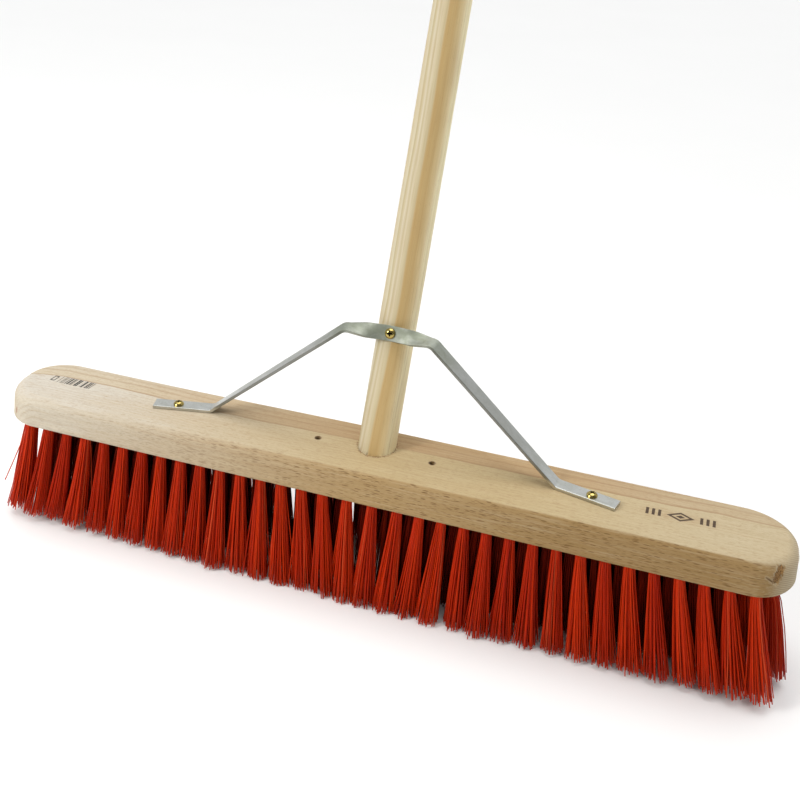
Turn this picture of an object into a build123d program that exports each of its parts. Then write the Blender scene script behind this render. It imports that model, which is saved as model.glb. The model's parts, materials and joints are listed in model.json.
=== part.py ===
"""Push broom, 610 mm (24 in) head, wooden block, red PVC tufts, 28.5 mm (1-1/8 in) wooden handle and a flat steel stay.

Frame: millimetres, +Z up, X along the head, the handle leans toward +Y. z = 0 is the plane the bristle tips were trimmed to
and the origin is the middle of the sweeping face.
"""
from build123d import *
import math
import os

os.makedirs("parts", exist_ok=True)

# ---------------------------------------------------------------- driving sizes (mm)
HEAD_L = 610.0          # block length
HEAD_W = 76.0           # block width at the underside
HEAD_H = 24.0           # block thickness
SIDE_SLOPE = 5.1        # how far each long side leans in from underside to top
END_SLOPE = 1.6         # the same at the ends
END_A = 31.0            # plan corner: half-axis along X
END_B = 34.0            # plan corner: half-axis along Y
TOP_ROLL_SIDE = 2.7     # rounding of the long top edges, across Y
TOP_ROLL_END = 8.5      # sanded-over rounding of the top end edges, along X
TOP_ROLL_H = 8.5        # height of that rounding
BOT_ROLL = 2.8          # rounding of the underside edges

BRISTLE = 85.0          # exposed bristle length in the middle of the head
TOP = BRISTLE + HEAD_H  # height of the block's top face

LEAN = 22.45            # handle lean from the head's normal, degrees
HANDLE_Y = 6.9          # where the handle axis meets the block's top face
HANDLE_D = 28.5
HANDLE_L = 1400.0
SOCKET_DEPTH = 14.0     # along the handle axis, from the top face
SOCKET_GAP = 0.10       # radial
HANDLE_DOME = 12.0      # rounding of the free end

SPARE_HOLE_X = 45.0     # two spare bracket holes, each side of the handle
SPARE_HOLE_D = 4.5
SPARE_HOLE_DEPTH = 16.0

STRIP_W = 11.5          # stay strip
STRIP_T = 2.5
STRIP_R = 0.45          # rolled corners of the strip's section
FOOT_END = (181.0, -4.2)
FOOT_BEND = (136.4, 6.3)
TOP_BEND = (34.2, 20.4, 86.35)   # height is above the block's top face
STRAP_R = 48.0          # easing of the strap where it meets the handle
TWIST_FROM, TWIST_TO = 33.0, 7.0  # the strap turns to face the front between these two distances from the middle
LEG_TWIST_LOW, LEG_TWIST = -2.0, 6.0   # slight turn of the legs, bottom and top
STAY_AT = 86.2          # handle screw, along the handle axis from the top face
SCREW_X = 162.4         # foot screws
SCREW_SHANK_D = 3.6
SCREW_HEAD_D = 8.0
SCREW_HEAD_H = 2.6
FOOT_SCREW_L = 15.0     # below the strip's upper face
HANDLE_SCREW_L = 19.0
STRIP_HOLE_D = 4.6

TUFT_HOLE_D = 7.5
TUFT_D = 7.3
TUFT_DEPTH = 12.0       # depth of the tuft holes
TIP_RX = 8.2            # half-axes of a tuft's flared tip
TIP_RY = 9.5
FAN_FROM = 72.0         # the tips fan outwards from here ...
FAN_TO = 244.0          # ... to here, then lean by the full amount
FAN = 17.0
ANCHOR_T = 0.7
ANCHOR_H = 2.6
ROWS = (-29.0, -9.7, 9.7, 29.0)  # nothing is drilled on the middle line, where the spare holes and the foot screws go
ROW_LEAN = (-10.0, -3.3, 3.3, 10.0)  # how far the tips of each row splay across the head
PITCH = 16.67

GAP = 0.06              # everywhere two pieces touch

lean = math.radians(LEAN)
axis_dir = Vector(0, math.sin(lean), math.cos(lean))
front_dir = Vector(0, -math.cos(lean), math.sin(lean))
handle_base = Vector(0, HANDLE_Y, TOP)
handle_plane = Plane(origin=handle_base, x_dir=(1, 0, 0), z_dir=axis_dir)


def row_positions(row):
    """X of every tuft root in one row; the second and fourth rows sit half a pitch along."""
    if row in (1, 3):
        half = [19.5] + [37.5 + PITCH * k for k in range(16 if row == 1 else 15)]   # the back row stops short of the rounded corners
        xs = [-x for x in reversed(half)] + [0.0] + half
    else:
        half = [9.8] + [29.2 + PITCH * k for k in range(16)]
        xs = [-x for x in reversed(half)] + half
    if row == 2:   # the handle's socket takes the place of two tufts
        xs = [x for x in xs if abs(x) > 20.0]
    return xs


def end_splay(x):
    """Outward lean of a tuft's tip, growing steadily from the middle of the head to its ends."""
    t = (abs(x) - FAN_FROM) / (FAN_TO - FAN_FROM)
    return math.copysign(FAN * min(max(t, 0.0), 1.0), x)


def tip_height(x):
    """The fanned tufts swing up a little."""
    return BRISTLE - math.sqrt(BRISTLE ** 2 - end_splay(x) ** 2)


# ---------------------------------------------------------------- head block
def ring_plan(z, inset_x, inset_y):
    """Closed plan outline of the block at height z: four straights and four elliptical corners."""
    fr = (TOP - z) / HEAD_H
    x = HEAD_L / 2 - END_SLOPE * (1 - fr) - inset_x
    y = HEAD_W / 2 - SIDE_SLOPE * (1 - fr) - inset_y
    b = min(END_B, y - 3.0)
    return x, y, END_A, b


rings = []
for k in (90, 72, 54, 36, 18, 0):
    a = math.radians(k)
    s = 1 - math.cos(a)
    rings.append((TOP - TOP_ROLL_H * (1 - math.sin(a)), TOP_ROLL_END * s, TOP_ROLL_SIDE * s))
for z in (TOP - 11.0, TOP - 16.0, TOP - 19.5):
    rings.append((z, 0.0, 0.0))
for k in (0, 22.5, 45, 67.5, 90):
    a = math.radians(k)
    s = 1 - math.cos(a)
    rings.append((BRISTLE + BOT_ROLL * (1 - math.sin(a)), BOT_ROLL * s, BOT_ROLL * s))

with BuildPart() as head_block:
    for z, ix, iy in rings:
        x, y, ca, cb = ring_plan(z, ix, iy)
        with BuildSketch(Plane.XY.offset(z)):
            with BuildLine():
                Line((x - ca, y), (-x + ca, y))
                EllipticalCenterArc((-x + ca, y - cb), ca, cb, start_angle=90, arc_size=90)
                Line((-x, y - cb), (-x, -y + cb))
                EllipticalCenterArc((-x + ca, -y + cb), ca, cb, start_angle=180, arc_size=90)
                Line((-x + ca, -y), (x - ca, -y))
                EllipticalCenterArc((x - ca, -y + cb), ca, cb, start_angle=270, arc_size=90)
                Line((x, -y + cb), (x, y - cb))
                EllipticalCenterArc((x - ca, y - cb), ca, cb, start_angle=0, arc_size=90)
            make_face()
    loft()
    # blind tuft holes, drilled from the underside
    for row, y in enumerate(ROWS):
        with BuildSketch(Plane.XY.offset(BRISTLE)):
            with Locations(*[(x, y) for x in row_positions(row)]):
                Circle(TUFT_HOLE_D / 2)
        extrude(amount=TUFT_DEPTH, mode=Mode.SUBTRACT)
    # angled flat-bottomed handle socket
    with BuildSketch(handle_plane.offset(-SOCKET_DEPTH)):
        Circle(HANDLE_D / 2 + SOCKET_GAP)
    extrude(amount=SOCKET_DEPTH + 20, mode=Mode.SUBTRACT)
    # spare bracket holes
    with BuildSketch(Plane.XY.offset(TOP)):
        with Locations((-SPARE_HOLE_X, 0), (SPARE_HOLE_X, 0)):
            Circle(SPARE_HOLE_D / 2)
    extrude(amount=-SPARE_HOLE_DEPTH, mode=Mode.SUBTRACT)
    # pilot holes under the stay's feet, with drill points
    with Locations((-SCREW_X, 0, TOP), (SCREW_X, 0, TOP)):
        Cylinder(SCREW_SHANK_D / 2 + GAP, FOOT_SCREW_L, align=(Align.CENTER, Align.CENTER, Align.MAX), mode=Mode.SUBTRACT)
head_block.part.label = "head_block"
export_step(head_block.part, "parts/head_block.step")

# ---------------------------------------------------------------- handle
stay_point = handle_base + axis_dir * STAY_AT + front_dir * (HANDLE_D / 2)
screw_plane = Plane(origin=stay_point, x_dir=(1, 0, 0), z_dir=front_dir)
with BuildPart() as handle:
    with BuildSketch(handle_plane.offset(-SOCKET_DEPTH + GAP)):
        Circle(HANDLE_D / 2)
    extrude(amount=HANDLE_L)
    along = handle.edges().sort_by(Axis((0, 0, 0), (0, math.sin(lean), math.cos(lean))))
    chamfer(along[0], 1.2)
    fillet(handle.edges().sort_by(Axis((0, 0, 0), (0, math.sin(lean), math.cos(lean))))[-1], HANDLE_DOME)
    # pilot hole for the stay's screw
    with BuildSketch(screw_plane):
        Circle(SCREW_SHANK_D / 2 + GAP)
    extrude(amount=-(HANDLE_SCREW_L - STRIP_T + 1.0), mode=Mode.SUBTRACT)
handle.part.label = "handle"
export_step(handle.part, "parts/handle.step")


# ---------------------------------------------------------------- stay: one strip, bent at the feet and shoulders, twisted flat against the handle
def mix(a, b, t):
    return a * (1 - t) + b * t


def turn(v, about, degrees_):
    """Rotate v about a unit axis."""
    a = math.radians(degrees_)
    return v * math.cos(a) + about.cross(v) * math.sin(a) + about * (about.dot(v) * (1 - math.cos(a)))


def bend(a, b, c, radius, n):
    """Arc of the given radius that rounds corner b between a and c: (point, tangent) pairs."""
    u = (a - b).normalized()
    v = (c - b).normalized()
    half = math.acos(max(-1, min(1, u.dot(v)))) / 2
    d = radius / math.tan(half)
    centre = b + (u + v).normalized() * (radius / math.sin(half))
    ws, we = (b + u * d) - centre, (b + v * d) - centre
    total = math.acos(max(-1, min(1, ws.dot(we) / radius ** 2)))
    out = []
    for i in range(n + 1):
        f, g = (1 - i / n) * total, (i / n) * total
        p = centre + (ws * math.sin(f) + we * math.sin(g)) * (1 / math.sin(total))
        t = (ws * -math.cos(f) + we * math.cos(g)).normalized()
        out.append((p, t))
    return out


foot_z = TOP + GAP + STRIP_T / 2
p_end = Vector(FOOT_END[0], FOOT_END[1], foot_z)
p_foot = Vector(FOOT_BEND[0], FOOT_BEND[1], foot_z)
p_top = Vector(TOP_BEND[0], TOP_BEND[1], TOP + TOP_BEND[2])
p_mid = stay_point + front_dir * (GAP + STRIP_T / 2)
# corner of the two straight halves of the strap, rounded so that its middle touches the handle
slope = (p_mid.Y - p_top.Y) / p_top.X
back = STRAP_R * (math.sqrt(1 + slope ** 2) - 1)
p_corner = Vector(0, p_mid.Y + back, p_mid.Z)


def level(t):
    """Wide direction of the strip when it lies level across a run along t; points to +Y for a run toward -X."""
    return Vector(0, 0, 1).cross(t * -1).normalized()


def facing(x):
    """How far the strip is turned from level toward facing the front, at x on the right-hand half."""
    s = max(0.0, min(1.0, (TWIST_FROM - x) / (TWIST_FROM - TWIST_TO)))
    return mix(LEG_TWIST, 90.0 - LEAN, s * s * (3 - 2 * s))


def frame(p, t, twist):
    return p, turn(level(t), t, -twist).normalized(), t


def mirrored(f):
    p, w, t = f
    return Vector(-p.X, p.Y, p.Z), Vector(-w.X, w.Y, w.Z), Vector(t.X, -t.Y, -t.Z)


foot_bend = bend(p_end, p_foot, p_top, 6.0, 4)
top_bend = bend(p_foot, p_top, p_corner, 7.0, 4)
mid_bend = bend(p_top, p_corner, Vector(-p_top.X, p_top.Y, p_top.Z), STRAP_R, 8)
start, end = top_bend[-1][0], mid_bend[0][0]
run = (end - start).normalized()
foot_run = (p_foot - p_end).normalized()

foot_part = [frame(p_end, foot_run, 0), frame(foot_bend[0][0], foot_run, 0)]
bend_part = [frame(p, t, LEG_TWIST_LOW * i / 4) for i, (p, t) in enumerate(foot_bend)]
leg_part = []
for i in range(5):
    leg_part.append(frame(mix(foot_bend[-1][0], top_bend[0][0], i / 4), foot_bend[-1][1], mix(LEG_TWIST_LOW, LEG_TWIST, i / 4)))
top_part = [frame(p, t, LEG_TWIST) for p, t in top_bend]
half_strap = [frame(mix(start, end, i / 9), run, facing(mix(start, end, i / 9).X)) for i in range(10)]
half_strap += [frame(p, t, 90.0 - LEAN) for p, t in mid_bend[1:5]]
strap = half_strap + [mirrored(f) for f in reversed(half_strap[:-1])]
halves = [foot_part, bend_part, leg_part, top_part]
runs = halves + [strap] + [[mirrored(f) for f in reversed(h)] for h in halves]

with BuildPart() as stay:
    for pieces in runs:
        for p, w, t in pieces:
            with BuildSketch(Plane(origin=p, x_dir=w, z_dir=t)):
                RectangleRounded(STRIP_W, STRIP_T, STRIP_R)
        loft(ruled=len(pieces) == 2)
    with Locations((-SCREW_X, 0, TOP), (SCREW_X, 0, TOP)):
        Cylinder(STRIP_HOLE_D / 2, 12, mode=Mode.SUBTRACT)
    with BuildSketch(screw_plane.offset(-2)):
        Circle(STRIP_HOLE_D / 2)
    extrude(amount=8, mode=Mode.SUBTRACT)
stay.part.label = "stay"
export_step(stay.part, "parts/stay.step")


# ---------------------------------------------------------------- screws: round head, cross recess, plain shank with a point
with BuildPart() as foot_screw_left:
    with BuildSketch(Plane.XZ):
        with BuildLine():
            Polyline((0, -FOOT_SCREW_L + 0.6), (SCREW_SHANK_D / 2 * 0.35, -FOOT_SCREW_L + 2.0), (SCREW_SHANK_D / 2, -FOOT_SCREW_L + 5.0), (SCREW_SHANK_D / 2, 0), (SCREW_HEAD_D / 2, 0), (SCREW_HEAD_D / 2, 0.7))
            ThreePointArc((SCREW_HEAD_D / 2, 0.7), (SCREW_HEAD_D / 2 * 0.72, SCREW_HEAD_H * 0.78), (0, SCREW_HEAD_H))
            Line((0, SCREW_HEAD_H), (0, -FOOT_SCREW_L + 0.6))
        make_face()
    revolve(axis=Axis.Z)
    with BuildSketch(Plane.XY.offset(SCREW_HEAD_H + 0.1)):
        Rectangle(4.4, 1.1)
        Rectangle(1.1, 4.4)
    extrude(amount=-1.9, taper=14, mode=Mode.SUBTRACT)
foot_screw_left.part.label = "foot_screw_left"
FOOT_SEAT = TOP + GAP + STRIP_T + GAP
export_step(Pos(-SCREW_X, 0, FOOT_SEAT) * Rot(0, 0, 20) * foot_screw_left.part, "parts/foot_screw_left.step")

with BuildPart() as foot_screw_right:
    add(foot_screw_left.part)
foot_screw_right.part.label = "foot_screw_right"
export_step(Pos(SCREW_X, 0, FOOT_SEAT) * Rot(0, 0, -35) * foot_screw_right.part, "parts/foot_screw_right.step")

with BuildPart() as handle_screw:
    with BuildSketch(Plane.XZ):
        with BuildLine():
            Polyline((0, -HANDLE_SCREW_L + 0.6), (SCREW_SHANK_D / 2 * 0.35, -HANDLE_SCREW_L + 2.0), (SCREW_SHANK_D / 2, -HANDLE_SCREW_L + 5.0), (SCREW_SHANK_D / 2, 0), (SCREW_HEAD_D / 2, 0), (SCREW_HEAD_D / 2, 0.7))
            ThreePointArc((SCREW_HEAD_D / 2, 0.7), (SCREW_HEAD_D / 2 * 0.72, SCREW_HEAD_H * 0.78), (0, SCREW_HEAD_H))
            Line((0, SCREW_HEAD_H), (0, -HANDLE_SCREW_L + 0.6))
        make_face()
    revolve(axis=Axis.Z)
    with BuildSketch(Plane.XY.offset(SCREW_HEAD_H + 0.1)):
        Rectangle(4.4, 1.1)
        Rectangle(1.1, 4.4)
    extrude(amount=-1.9, taper=14, mode=Mode.SUBTRACT)
handle_screw.part.label = "handle_screw"
seat = screw_plane.offset(GAP + STRIP_T + GAP)
export_step(seat.location * Rot(0, 0, 12) * handle_screw.part, "parts/handle_screw.step")

# ---------------------------------------------------------------- tufts, one node a row: each is folded over its anchor, fills its hole, then flares to the trimmed tip
for row, y in enumerate(ROWS):
    xs = row_positions(row)
    with BuildPart() as tuft_row:
        with BuildSketch(Plane.XY.offset(BRISTLE)):
            with Locations(*[(x, y) for x in xs]):
                Circle(TUFT_D / 2)
        extrude(amount=TUFT_DEPTH - GAP)
        for x in xs:
            with BuildSketch(Plane.XY.offset(BRISTLE)):
                with Locations((x, y)):
                    Circle(TUFT_D / 2)
            with BuildSketch(Plane.XY.offset(tip_height(x))):
                with Locations((x + end_splay(x), y + ROW_LEAN[row])):
                    Ellipse(TIP_RX, TIP_RY)
            loft(ruled=True)
        with Locations(*[(x, y, BRISTLE + TUFT_DEPTH) for x in xs]):
            Box(TUFT_D + 1, ANCHOR_T + 2 * GAP, ANCHOR_H + GAP, align=(Align.CENTER, Align.CENTER, Align.MAX), mode=Mode.SUBTRACT)
    tuft_row.part.label = f"tuft_row_{row + 1}"
    export_step(tuft_row.part, f"parts/tuft_row_{row + 1}.step")

# ---------------------------------------------------------------- flat wire anchors inside the tuft holes, one node a row
for row, y in enumerate(ROWS):
    with BuildPart() as anchor_row:
        with Locations(*[(x, y, BRISTLE + TUFT_DEPTH - GAP) for x in row_positions(row)]):
            Box(TUFT_D - 0.5, ANCHOR_T, ANCHOR_H - GAP, align=(Align.CENTER, Align.CENTER, Align.MAX))
    anchor_row.part.label = f"anchor_row_{row + 1}"
    export_step(anchor_row.part, f"parts/anchor_row_{row + 1}.step")
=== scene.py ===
import bpy, bmesh, json, math, random
import numpy as np
from mathutils import Vector, Matrix, noise
from mathutils.geometry import delaunay_2d_cdt

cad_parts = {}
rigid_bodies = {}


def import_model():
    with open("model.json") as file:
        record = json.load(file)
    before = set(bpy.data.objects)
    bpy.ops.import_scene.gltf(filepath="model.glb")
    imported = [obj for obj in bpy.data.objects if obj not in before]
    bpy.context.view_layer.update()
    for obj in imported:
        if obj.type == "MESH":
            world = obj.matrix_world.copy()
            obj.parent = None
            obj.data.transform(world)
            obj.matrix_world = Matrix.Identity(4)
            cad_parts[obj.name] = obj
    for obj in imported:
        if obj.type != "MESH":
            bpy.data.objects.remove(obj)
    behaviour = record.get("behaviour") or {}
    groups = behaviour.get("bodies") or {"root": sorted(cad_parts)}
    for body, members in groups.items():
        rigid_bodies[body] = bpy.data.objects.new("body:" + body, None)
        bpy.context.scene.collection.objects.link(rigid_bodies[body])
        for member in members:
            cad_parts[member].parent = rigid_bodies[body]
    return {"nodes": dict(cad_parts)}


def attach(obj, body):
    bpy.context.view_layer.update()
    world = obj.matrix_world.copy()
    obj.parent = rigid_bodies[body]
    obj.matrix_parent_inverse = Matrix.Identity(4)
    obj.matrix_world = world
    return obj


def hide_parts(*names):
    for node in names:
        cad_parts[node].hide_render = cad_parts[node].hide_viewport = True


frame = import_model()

nodes = frame["nodes"]
for o in list(bpy.data.objects):                       # a start-up cube, lamp or camera isn't part of the broom
    if o.name in ("Cube", "Light", "Camera"):
        bpy.data.objects.remove(o, do_unlink=True)
bpy.context.view_layer.update()
scene = bpy.context.scene
MM = 0.001
WORLD_FRONT, WORLD_BACK, SUN, KEY = 0.18, 0.75, 2.0, 16.0      # studio light

# ------------------------------------------------------------------ sizes shared with the CAD, in millimetres
HEAD_L, HEAD_W, HEAD_H = 610.0, 76.0, 24.0
SIDE_SLOPE, END_SLOPE = 5.1, 1.6
END_A, END_B = 31.0, 34.0
BRISTLE = 85.0
TOP = BRISTLE + HEAD_H
LEAN = math.radians(22.45)
HANDLE_Y, HANDLE_D, HANDLE_L, SOCKET_DEPTH = 6.9, 28.5, 1400.0, 14.0
PITCH = 16.67
ROWS = (-29.0, -9.7, 9.7, 29.0)
ROW_LEAN = (-10.0, -3.3, 3.3, 10.0)
TUFT_R, HOLE_R, TUFT_DEPTH = 3.65, 3.75, 12.0
TIP_RX, TIP_RY = 10.3, 10.0
STAY_AT = 86.2


def row_positions(row):
    if row in (1, 3):
        half = [19.5] + [37.5 + PITCH * k for k in range(16 if row == 1 else 15)]
        xs = [-x for x in reversed(half)] + [0.0] + half
    else:
        half = [9.8] + [29.2 + PITCH * k for k in range(16)]
        xs = [-x for x in reversed(half)] + half
    if row == 2:
        xs = [x for x in xs if abs(x) > 20.0]
    return xs


def end_splay(x):
    t = (abs(x) - 72.0) / 172.0
    return math.copysign(17.0 * min(max(t, 0.0), 1.0), x)


# ------------------------------------------------------------------ node helpers
class Net:
    """Small helper that writes a material's node network."""

    def __init__(self, name):
        self.m = bpy.data.materials.new(name)
        self.m.use_nodes = True
        self.t = self.m.node_tree
        self.t.nodes.clear()
        self.out = self.t.nodes.new("ShaderNodeOutputMaterial")
        self.bsdf = self.t.nodes.new("ShaderNodeBsdfPrincipled")
        self.t.links.new(self.bsdf.outputs[0], self.out.inputs[0])

    def put(self, socket, v):
        if hasattr(v, "is_output"):
            self.t.links.new(v, socket)
        elif v is not None:
            socket.default_value = v

    def new(self, kind, ins=None, **props):
        n = self.t.nodes.new(kind)
        for k, v in props.items():
            setattr(n, k, v)
        for k, v in (ins or {}).items():
            self.put(n.inputs[k], v)
        return n

    def coords(self):
        return self.new("ShaderNodeTexCoord").outputs["Object"]

    def xyz(self, v):
        n = self.new("ShaderNodeSeparateXYZ", {0: v})
        return n.outputs[0], n.outputs[1], n.outputs[2]

    def vec(self, x, y, z):
        return self.new("ShaderNodeCombineXYZ", {0: x, 1: y, 2: z}).outputs[0]

    def m2(self, op, a, b=None, c=None, clamp=False):
        n = self.new("ShaderNodeMath", {0: a, 1: b, 2: c}, operation=op)
        n.use_clamp = clamp
        return n.outputs[0]

    def vm(self, op, a, b=None):
        n = self.new("ShaderNodeVectorMath", {0: a, 1: b}, operation=op)
        return n.outputs["Value"] if op in ("DOT_PRODUCT", "LENGTH", "DISTANCE") else n.outputs[0]

    def scale(self, v, sx, sy, sz):
        return self.vm("MULTIPLY", v, (sx, sy, sz))

    def noise(self, v, scale=1.0, detail=2.0, rough=0.5, distort=0.0, dims="3D"):
        n = self.new("ShaderNodeTexNoise", {"Vector": v, "Scale": scale, "Detail": detail, "Roughness": rough, "Distortion": distort}, noise_dimensions=dims)
        return n.outputs[0]

    def voronoi(self, v, scale=1.0, feature="F1", rnd=1.0):
        return self.new("ShaderNodeTexVoronoi", {"Vector": v, "Scale": scale, "Randomness": rnd}, feature=feature)

    def step(self, v, lo, hi, a=0.0, b=1.0, smooth=True):
        n = self.new("ShaderNodeMapRange", {0: v, 1: lo, 2: hi, 3: a, 4: b}, interpolation_type="SMOOTHSTEP" if smooth else "LINEAR")
        return n.outputs[0]

    def mix(self, f, a, b, mode="MIX"):
        n = self.new("ShaderNodeMix", data_type="RGBA", blend_type=mode)
        self.put(n.inputs[0], f)
        self.put(n.inputs[6], a)
        self.put(n.inputs[7], b)
        return n.outputs[2]

    def ramp(self, f, stops):
        n = self.new("ShaderNodeValToRGB", {0: f})
        r = n.color_ramp
        while len(r.elements) < len(stops):
            r.elements.new(0.5)
        for e, (p, c) in zip(r.elements, stops):
            e.position = p
            e.color = c
        return n.outputs[0]

    def bump(self, h, strength, dist, normal=None):
        n = self.new("ShaderNodeBump", {"Height": h, "Strength": strength, "Distance": dist})
        if normal is not None:
            self.t.links.new(normal, n.inputs["Normal"])
        return n.outputs[0]


def rgb(r, g, b):
    """sRGB 0-255 to linear colour."""
    f = lambda c: (c / 255 / 12.92) if c / 255 <= 0.04045 else ((c / 255 + 0.055) / 1.055) ** 2.4
    return (f(r), f(g), f(b), 1.0)


# ------------------------------------------------------------------ materials
RING_LINE = [(-305, -1.0), (-290, 3.5), (-272, 7.0), (-234, 7.6), (-192, 7.4), (-141, 4.6), (-80, 6.0), (-17, 8.5), (71, 11.0), (138, 12.0), (217, 13.0), (246, 15.0), (265, 14.8), (305, 16.2)]
KNOT_A, KNOT_B = (291.0, -26.6, 105.0), (288.8, -30.6, 97.6)
CRACK_A, CRACK_B = (283.0, -33.4, 100.4), (290.6, -31.0, 95.0)


def segment_distance(k, p, a, b):
    """Distance from p to the segment a-b, as nodes."""
    ab = [b[i] - a[i] for i in range(3)]
    ll = sum(v * v for v in ab)
    ap = k.vm("SUBTRACT", p, a)
    t = k.m2("DIVIDE", k.vm("DOT_PRODUCT", ap, tuple(ab)), ll, clamp=True)
    q = k.new("ShaderNodeVectorMath", {0: tuple(ab), "Scale": t}, operation="SCALE").outputs[0]
    return k.vm("LENGTH", k.vm("SUBTRACT", ap, q))


def wood_block():
    k = Net("beech_block")
    p = k.scale(k.coords(), 1000, 1000, 1000)          # millimetres
    x, y, z = k.xyz(p)
    nx, ny, nz = k.xyz(k.new("ShaderNodeNewGeometry").outputs["Normal"])
    topf = k.step(nz, 0.72, 0.97)
    side = k.step(k.m2("ABSOLUTE", ny), 0.35, 0.8)
    endf = k.step(k.m2("ABSOLUTE", nx), 0.35, 0.75)
    # main growth-ring boundary, followed along the plank
    lo, hi = -2.0, 17.0
    stops = [((X + 305) / 610, (((Y - lo) / (hi - lo)),) * 3 + (1,)) for X, Y in RING_LINE]
    ln = k.ramp(k.m2("DIVIDE", k.m2("ADD", x, 305.0), 610.0), stops)
    ly = k.m2("ADD", k.m2("MULTIPLY", k.xyz(ln)[0], hi - lo), lo)
    small = k.m2("MULTIPLY", k.m2("SUBTRACT", k.noise(k.scale(p, 0.03, 0.10, 0.10), 1.0, 3.0, 0.55), 0.5), 2.6)
    v = k.m2("ADD", k.m2("SUBTRACT", y, ly), k.m2("ADD", small, k.m2("MULTIPLY", k.m2("SUBTRACT", z, TOP), 0.35)))
    # ground tone: paler toward one end, painted light from the lamp at that end; pinker on the far side of the boundary
    left = k.step(x, 20.0, -290.0)
    rightf = k.step(x, -20.0, 200.0)
    right = k.step(x, 100.0, 290.0)
    near = k.mix(left, k.mix(right, rgb(184, 164, 124), rgb(189, 174, 143)), rgb(199, 194, 184))
    far = k.mix(left, k.mix(right, rgb(174, 145, 107), rgb(184, 166, 136)), rgb(194, 182, 160))
    # painted shade: the sloped sides get darker colours than the top, darker still toward the right end
    flank = k.mix(left, k.mix(rightf, rgb(170, 141, 95), rgb(150, 120, 74)), rgb(200, 192, 176))
    pinkness = k.m2("MULTIPLY", k.step(v, -0.6, 1.2), k.step(v, 34.0, 8.0, 0.6, 1.0))
    col = k.mix(pinkness, near, far)
    col = k.mix(side, col, flank)
    # annual layers
    rings = k.m2("MULTIPLY", k.m2("ADD", k.m2("SINE", k.m2("MULTIPLY", v, 1.9)), 1.0), 0.5)
    lvar = k.noise(k.scale(p, 0.004, 0.16, 0.16), 1.0, 3.0, 0.6)
    col = k.mix(k.m2("MULTIPLY", k.m2("POWER", rings, 3.0), k.step(lvar, 0.35, 0.7, 0.0, 0.28)), col, rgb(160, 128, 88))

    def boundary(c, at, width, tail, amount, tint):
        d = k.m2("SUBTRACT", v, at)
        f = k.m2("MULTIPLY", k.step(d, -width, 0.0), k.step(d, tail, 0.0))
        wob = k.step(k.noise(k.scale(p, 0.014, 0.05, 0.05), 1.0, 2.0, 0.5), 0.3, 0.6, 0.45, 1.0)
        return k.mix(k.m2("MULTIPLY", k.m2("MULTIPLY", f, wob), amount), c, tint)
    col = boundary(col, 0.0, 0.7, 2.4, 0.62, rgb(138, 98, 62))
    col = boundary(col, 9.5, 1.0, 2.6, 0.38, rgb(136, 96, 60))
    col = boundary(col, 15.5, 0.8, 3.0, 0.30, rgb(136, 96, 60))
    col = boundary(col, -14.0, 0.9, 1.6, 0.14, rgb(148, 108, 70))
    # fibre streaks
    fibre = k.noise(k.scale(p, 0.06, 2.0, 2.0), 1.0, 3.0, 0.65)
    col = k.mix(k.step(fibre, 0.42, 0.75, 0.0, 0.30), col, rgb(152, 124, 84))
    light = k.noise(k.scale(p, 0.025, 0.9, 0.9), 1.0, 2.0, 0.5)
    col = k.mix(k.step(light, 0.45, 0.75, 0.0, 0.26), col, rgb(206, 190, 158))
    tone = k.noise(k.scale(p, 0.010, 0.03, 0.03), 1.0, 3.0, 0.5)
    col = k.mix(k.step(tone, 0.35, 0.7, 0.0, 0.22), col, rgb(176, 150, 110))
    # ray flecks: short dark dashes on the sawn flank, faint on the top
    jit = k.noise(k.scale(p, 0.03, 0.2, 0.25), 1.0, 1.0, 0.5)
    pj = k.vm("ADD", p, k.vec(0.0, 0.0, k.m2("MULTIPLY", k.m2("SUBTRACT", jit, 0.5), 1.2)))
    fade = k.step(x, -300.0, 60.0, 0.12, 1.0)

    def dashes(sx, sy, sz, radius, keep, seed):
        vo = k.voronoi(k.vm("ADD", k.scale(pj, sx, sy, sz), (seed, seed * 0.7, seed * 1.3)), 1.0)
        rnd = k.xyz(vo.outputs["Color"])
        size = k.m2("MULTIPLY", k.m2("ADD", rnd[1], 0.35), radius)
        m = k.step(vo.outputs["Distance"], size, k.m2("MULTIPLY", size, 0.55))
        return k.m2("MULTIPLY", m, k.m2("GREATER_THAN", rnd[0], 1.0 - keep))
    d1 = dashes(0.115, 0.02, 0.92, 0.46, 0.66, 0.0)
    d2 = dashes(0.19, 0.03, 1.45, 0.42, 0.70, 5.3)
    dash = k.m2("MULTIPLY", k.m2("MULTIPLY", d1, side), k.m2("MULTIPLY", fade, 0.72))
    col = k.mix(dash, col, rgb(104, 72, 36))
    col = k.mix(k.m2("MULTIPLY", k.m2("MULTIPLY", d2, side), k.m2("MULTIPLY", fade, 0.45)), col, rgb(116, 84, 46))
    td = dashes(0.20, 0.95, 0.2, 0.46, 0.6, 9.1)
    col = k.mix(k.m2("MULTIPLY", k.m2("MULTIPLY", td, topf), 0.26), col, rgb(150, 116, 76))
    speck = k.noise(k.scale(p, 0.45, 1.7, 1.7), 1.0, 2.0, 0.6)
    col = k.mix(k.step(speck, 0.50, 0.72, 0.0, 0.26), col, rgb(140, 112, 74))
    # end grain
    er = k.m2("MULTIPLY", k.m2("ADD", k.m2("SINE", k.m2("MULTIPLY", k.m2("ADD", v, k.m2("MULTIPLY", z, 1.1)), 2.6)), 1.0), 0.5)
    pores = k.voronoi(k.scale(p, 1.3, 1.3, 1.3), 1.0)
    ecol = k.mix(k.step(er, 0.45, 0.95, 0.0, 0.60), rgb(188, 172, 142), rgb(146, 122, 92))
    ecol = k.mix(k.step(pores.outputs["Distance"], 0.36, 0.12, 0.0, 0.22), ecol, rgb(146, 114, 80))
    col = k.mix(k.m2("MULTIPLY", endf, k.step(x, -200.0, 200.0, 0.35, 0.85)), col, ecol)
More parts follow.
